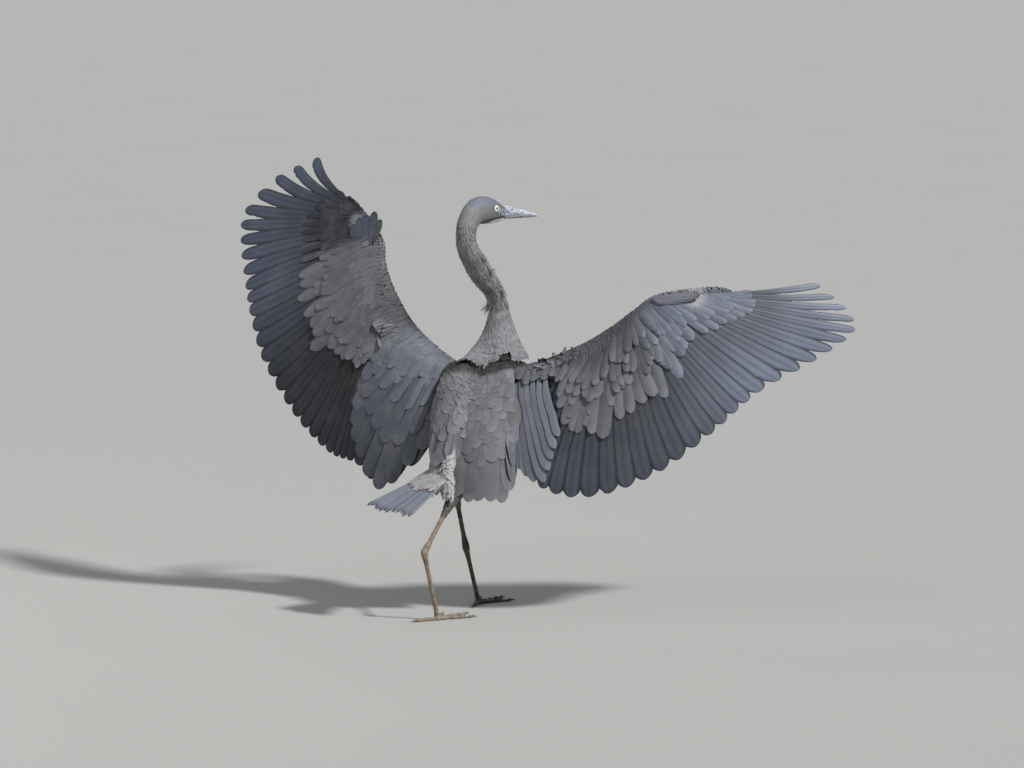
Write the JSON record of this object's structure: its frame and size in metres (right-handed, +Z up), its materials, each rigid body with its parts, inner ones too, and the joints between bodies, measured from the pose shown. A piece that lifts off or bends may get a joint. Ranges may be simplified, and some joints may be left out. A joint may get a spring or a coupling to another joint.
{
  "type": "heron",
  "caption": "Life-size dark grey heron standing in mid-step with both wings spread, a long curved neck, a dagger bill, bare legs and flat toes.",
  "frame": {"origin": "middle of the bird's own box, on the floor under it, with both soles at z = 0", "axes": "+Y the way the bird faces, +X its right side (the long way, wing tip to wing tip), +Z up"},
  "size_m": [1.5256, 0.8302, 1.0991],
  "materials": {
    "body_feathers": "matt layered feathers",
    "scapular_feathers": "matt long feathers",
    "neck_feathers": "matt short feathers",
    "head_feathers": "matt fine feathers",
    "wing_coverts": "matt overlapping feathers",
    "flight_feathers": "satin vanes",
    "tail_feathers": "satin vanes",
    "thigh_feathers": "matt downy feathers",
    "bill": "semi-matt horn",
    "eye": "wet gloss",
    "leg_skin": "matt scaled skin",
    "claw": "semi-matt horn"
  },
  "bodies": {
    "root": {"trunk": "body_feathers", "neck_lower": "neck_feathers", "neck_middle": "neck_feathers", "neck_upper": "neck_feathers", "head": "head_feathers", "bill_upper": "bill", "bill_lower": "bill", "eye_left": "eye", "eye_right": "eye", "tail": "tail_feathers", "scapulars_left": "scapular_feathers", "upper_arm_left": "wing_coverts", "forearm_left": "wing_coverts", "hand_left": "wing_coverts", "alula_left": "flight_feathers", "secondaries_left": "flight_feathers", "primary_left_1": "flight_feathers", "primary_left_2": "flight_feathers", "primary_left_3": "flight_feathers", "primary_left_4": "flight_feathers", "primary_left_5": "flight_feathers", "primary_left_6": "flight_feathers", "primary_left_7": "flight_feathers", "primary_left_8": "flight_feathers", "primary_left_9": "flight_feathers", "primary_left_10": "flight_feathers", "thigh_left": "thigh_feathers", "shank_left": "leg_skin", "tarsus_left": "leg_skin", "foot_left": "leg_skin", "claw_left_inner": "claw", "claw_left_middle": "claw", "claw_left_outer": "claw", "claw_left_hind": "claw", "scapulars_right": "scapular_feathers", "upper_arm_right": "wing_coverts", "forearm_right": "wing_coverts", "hand_right": "wing_coverts", "alula_right": "flight_feathers", "secondaries_right": "flight_feathers", "primary_right_1": "flight_feathers", "primary_right_2": "flight_feathers", "primary_right_3": "flight_feathers", "primary_right_4": "flight_feathers", "primary_right_5": "flight_feathers", "primary_right_6": "flight_feathers", "primary_right_7": "flight_feathers", "primary_right_8": "flight_feathers", "primary_right_9": "flight_feathers", "primary_right_10": "flight_feathers", "thigh_right": "thigh_feathers", "shank_right": "leg_skin", "tarsus_right": "leg_skin", "foot_right": "leg_skin", "claw_right_inner": "claw", "claw_right_middle": "claw", "claw_right_outer": "claw", "claw_right_hind": "claw"}
  },
  "joints": []
}
